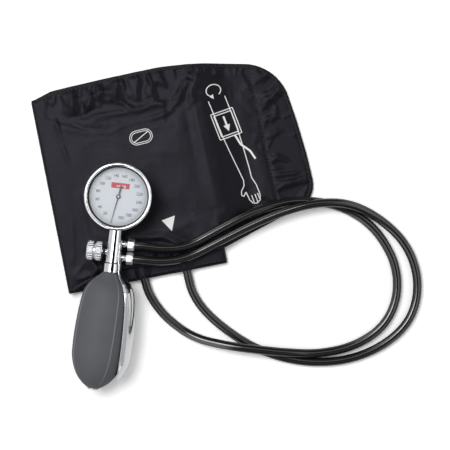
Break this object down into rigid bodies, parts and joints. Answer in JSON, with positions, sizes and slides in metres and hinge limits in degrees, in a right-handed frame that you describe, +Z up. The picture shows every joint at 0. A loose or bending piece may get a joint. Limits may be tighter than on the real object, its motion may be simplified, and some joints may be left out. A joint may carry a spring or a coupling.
{
  "type": "aneroid sphygmomanometer",
  "caption": "Palm-type aneroid blood-pressure set: dial gauge on a chromed stem with release valve, hand bulb with spoon, hoses and a folded arm cuff.",
  "frame": {"origin": "centre of the bounding box of the set without its two free hoses, on the plane that it lies on", "axes": "+X to the right and +Y away from the user with the set laid flat in front of them, +Z up, out of the dial"},
  "size_m": [0.2916, 0.2417, 0.0406],
  "materials": {
    "chrome": "polished chrome plate",
    "glass": "clear",
    "seal_rubber": "matte",
    "dial_face": "satin white print",
    "pointer_black": "satin black",
    "brass": "machined",
    "bronze": "bright strip and sheet",
    "steel": "turned",
    "bulb_rubber": "matte moulded",
    "hose_rubber": "glossy",
    "bladder_rubber": "matte",
    "nylon": "plain-weave nylon with a slight sheen",
    "binding_tape": "woven tape",
    "hook_tape": "hook tape",
    "loop_tape": "loop pile"
  },
  "bodies": {
    "root": {"bezel": "chrome", "bladder": "bladder_rubber", "bladder_port_left": "bladder_rubber", "bladder_port_right": "bladder_rubber", "bridge_screws": "steel", "bulb": "bulb_rubber", "check_valve_seat": "brass", "cuff_binding": "binding_tape", "cuff_cover": "nylon", "dial": "dial_face", "diaphragm_capsule": "bronze", "ferrule_lower": "chrome", "ferrule_upper": "chrome", "gauge_case": "chrome", "hairspring": "bronze", "hook_patch": "hook_tape", "hose_fitting_lower": "chrome", "hose_fitting_upper": "chrome", "hose_lower": "hose_rubber", "hose_upper": "hose_rubber", "inlet_block": "brass", "intake_valve_body": "brass", "lens": "glass", "lens_gasket": "seal_rubber", "loop_patch": "loop_tape", "lower_plate": "brass", "plate_pillars": "brass", "plate_screws": "steel", "spoon": "chrome", "stem_body": "chrome", "stem_collar": "chrome", "upper_plate": "brass", "valve_body": "chrome"},
    "pointer": {"pointer": "pointer_black", "pinion_arbor": "brass"},
    "sector": {"sector_gear": "brass"},
    "rocker": {"rocker_shaft": "steel"},
    "capsule_centre": {"capsule_button": "brass"},
    "valve_plunger": {"valve_seal": "seal_rubber"},
    "valve_knob": {"valve_knob": "chrome", "valve_spindle": "steel", "valve_oring": "seal_rubber"},
    "check_flap": {"check_disc": "seal_rubber"},
    "intake_ball": {"intake_ball": "steel"}
  },
  "joints": [
    {"name": "pointer_turn", "type": "hinge", "parent": "root", "child": "pointer", "pos_m": [-0.0374, 0.02013, 0.02946], "axis": [-0.0003, -0.003, -1], "range_deg": [0, 338.21]},
    {"name": "sector_turn", "type": "hinge", "parent": "root", "child": "sector", "pos_m": [-0.05378, 0.01812, 0.02352], "axis": [0.0003, 0.003, 1], "range_deg": [0, 33.72]},
    {"name": "rocker_tilt", "type": "hinge", "parent": "root", "child": "rocker", "pos_m": [-0.04566, 0.01848, 0.02022], "axis": [0.9942, -0.108, 0], "range_deg": [0, 23]},
    {"name": "capsule_rise", "type": "slide", "parent": "root", "child": "capsule_centre", "axis": [0.0003, 0.003, 1], "range_m": [0, 0.00101], "deforming": ["diaphragm_capsule"]},
    {"name": "valve_travel", "type": "slide", "parent": "root", "child": "valve_plunger", "axis": [-0.9942, 0.108, 0], "range_m": [0, 0.00106]},
    {"name": "valve_turn", "type": "hinge", "parent": "valve_plunger", "child": "valve_knob", "pos_m": [-0.05376, -0.01936, 0.02014], "axis": [-0.9942, 0.108, 0], "range_deg": [0, 540]},
    {"name": "check_lift", "type": "slide", "parent": "root", "child": "check_flap", "axis": [0.108, 0.9941, -0.003], "range_m": [0, 0.0006], "stiffness_N_per_m": 2},
    {"name": "intake_lift", "type": "slide", "parent": "root", "child": "intake_ball", "axis": [0.1564, 0.9877, -0.003], "range_m": [0, 0.0008]}
  ],
  "couplings": [
    {"joint": "pointer_turn", "follows": "sector_turn", "ratio": 10},
    {"joint": "rocker_tilt", "follows": "sector_turn", "ratio": 0.67972},
    {"joint": "capsule_rise", "follows": "sector_turn", "m_per_rad": 0.0016992},
    {"joint": "valve_travel", "follows": "valve_turn", "m_per_rad": 0.00011141}
  ]
}
